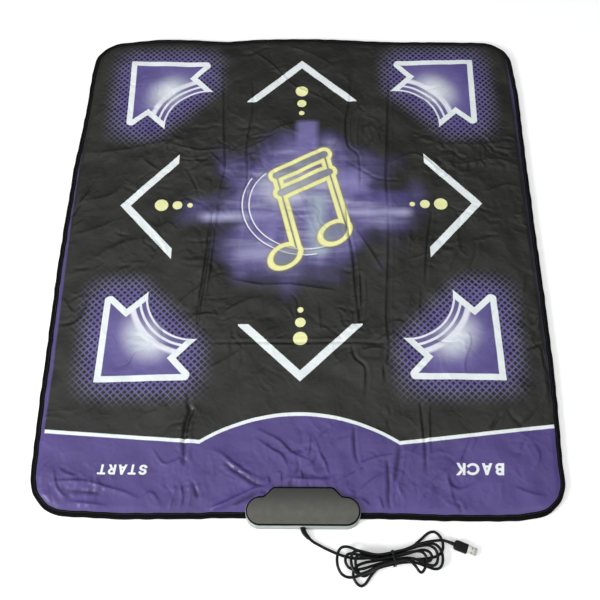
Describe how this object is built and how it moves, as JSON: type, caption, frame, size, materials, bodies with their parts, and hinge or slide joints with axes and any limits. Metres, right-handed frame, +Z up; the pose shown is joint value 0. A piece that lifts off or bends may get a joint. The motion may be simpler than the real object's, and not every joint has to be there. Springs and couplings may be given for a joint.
{
  "type": "dance mat controller",
  "caption": "Soft foldable dance mat controller with printed step pads, a sewn edge binding, a clip-on grey control box and a tied USB cord.",
  "frame": {"origin": "on the floor, at the middle of the footprint of the mat with its control box, the cord and what is on it left out", "axes": "+Z up out of the mat's printed face; +X to the right and +Y away, seen from the control box's side, so the box, the cord and the step pad called up are at -Y"},
  "size_m": [0.82, 1.0262, 0.0245],
  "materials": {
    "printed_vinyl": "soft printed PVC sheet, satin, finely wrinkled: black ground with purple, white and pale yellow print",
    "backing": "matt non-slip backing",
    "contact_film": "thin clear polyester film",
    "carbon_film": "polyester film with conductive carbon ink",
    "foam": "open soft foam sheet",
    "edge_binding": "woven black polyester tape, stitched",
    "box_lid": "dark warm grey moulded ABS, fine spark texture",
    "box_base": "light cool grey moulded ABS",
    "steel": "plated steel",
    "black_rubber": "matt black moulded PVC",
    "cord_jacket": "smooth black cable jacket, slightly glossy",
    "board_laminate": "phenolic board with green solder mask",
    "black_plastic": "black plastic",
    "white_insulator": "white moulded insulator"
  },
  "bodies": {
    "mat": {"top_cover": "printed_vinyl", "bottom_cover": "backing", "lower_contact_film": "contact_film", "upper_film": "contact_film", "foam_spacer": "foam", "edge_binding": "edge_binding", "box_upper_shell": "box_lid", "box_lower_shell": "box_base", "case_screw_1": "steel", "case_screw_2": "steel", "case_screw_3": "steel", "case_screw_4": "steel", "clamp_screw_1": "steel", "clamp_screw_2": "steel", "clamp_bar": "steel", "clock_crystal": "steel", "plug_shell": "steel", "pressure_strip": "black_rubber", "cord_grommet": "black_rubber", "plug_overmould": "black_rubber", "cord_lead": "cord_jacket", "cord_hank": "cord_jacket", "cord_tail": "cord_jacket", "inner_lead": "cord_jacket", "circuit_board": "board_laminate", "controller_chip": "black_plastic", "capacitor": "black_plastic", "twist_tie": "black_plastic", "plug_tongue": "white_insulator"},
    "pad_up": {"step_pad_up": "printed_vinyl", "upper_contact_up": "carbon_film"},
    "pad_down": {"step_pad_down": "printed_vinyl", "upper_contact_down": "carbon_film"},
    "pad_right": {"step_pad_right": "printed_vinyl", "upper_contact_right": "carbon_film"},
    "pad_left": {"step_pad_left": "printed_vinyl", "upper_contact_left": "carbon_film"},
    "pad_up_right": {"step_pad_up_right": "printed_vinyl", "upper_contact_up_right": "carbon_film"},
    "pad_up_left": {"step_pad_up_left": "printed_vinyl", "upper_contact_up_left": "carbon_film"},
    "pad_down_right": {"step_pad_down_right": "printed_vinyl", "upper_contact_down_right": "carbon_film"},
    "pad_down_left": {"step_pad_down_left": "printed_vinyl", "upper_contact_down_left": "carbon_film"},
    "pad_start": {"step_pad_start": "printed_vinyl", "upper_contact_start": "carbon_film"},
    "pad_back": {"step_pad_back": "printed_vinyl", "upper_contact_back": "carbon_film"}
  },
  "joints": [
    {"name": "press_up", "type": "slide", "parent": "mat", "child": "pad_up", "axis": [0, 0, -1], "range_m": [0, 0.003], "stiffness_N_per_m": 1500, "springref_m": -0.002},
    {"name": "press_down", "type": "slide", "parent": "mat", "child": "pad_down", "axis": [0, 0, -1], "range_m": [0, 0.003], "stiffness_N_per_m": 1500, "springref_m": -0.002},
    {"name": "press_right", "type": "slide", "parent": "mat", "child": "pad_right", "axis": [0, 0, -1], "range_m": [0, 0.003], "stiffness_N_per_m": 1500, "springref_m": -0.002},
    {"name": "press_left", "type": "slide", "parent": "mat", "child": "pad_left", "axis": [0, 0, -1], "range_m": [0, 0.003], "stiffness_N_per_m": 1500, "springref_m": -0.002},
    {"name": "press_up_right", "type": "slide", "parent": "mat", "child": "pad_up_right", "axis": [0, 0, -1], "range_m": [0, 0.003], "stiffness_N_per_m": 1500, "springref_m": -0.002},
    {"name": "press_up_left", "type": "slide", "parent": "mat", "child": "pad_up_left", "axis": [0, 0, -1], "range_m": [0, 0.003], "stiffness_N_per_m": 1500, "springref_m": -0.002},
    {"name": "press_down_right", "type": "slide", "parent": "mat", "child": "pad_down_right", "axis": [0, 0, -1], "range_m": [0, 0.003], "stiffness_N_per_m": 1500, "springref_m": -0.002},
    {"name": "press_down_left", "type": "slide", "parent": "mat", "child": "pad_down_left", "axis": [0, 0, -1], "range_m": [0, 0.003], "stiffness_N_per_m": 1500, "springref_m": -0.002},
    {"name": "press_start", "type": "slide", "parent": "mat", "child": "pad_start", "axis": [0, 0, -1], "range_m": [0, 0.003], "stiffness_N_per_m": 1500, "springref_m": -0.002},
    {"name": "press_back", "type": "slide", "parent": "mat", "child": "pad_back", "axis": [0, 0, -1], "range_m": [0, 0.003], "stiffness_N_per_m": 1500, "springref_m": -0.002}
  ]
}
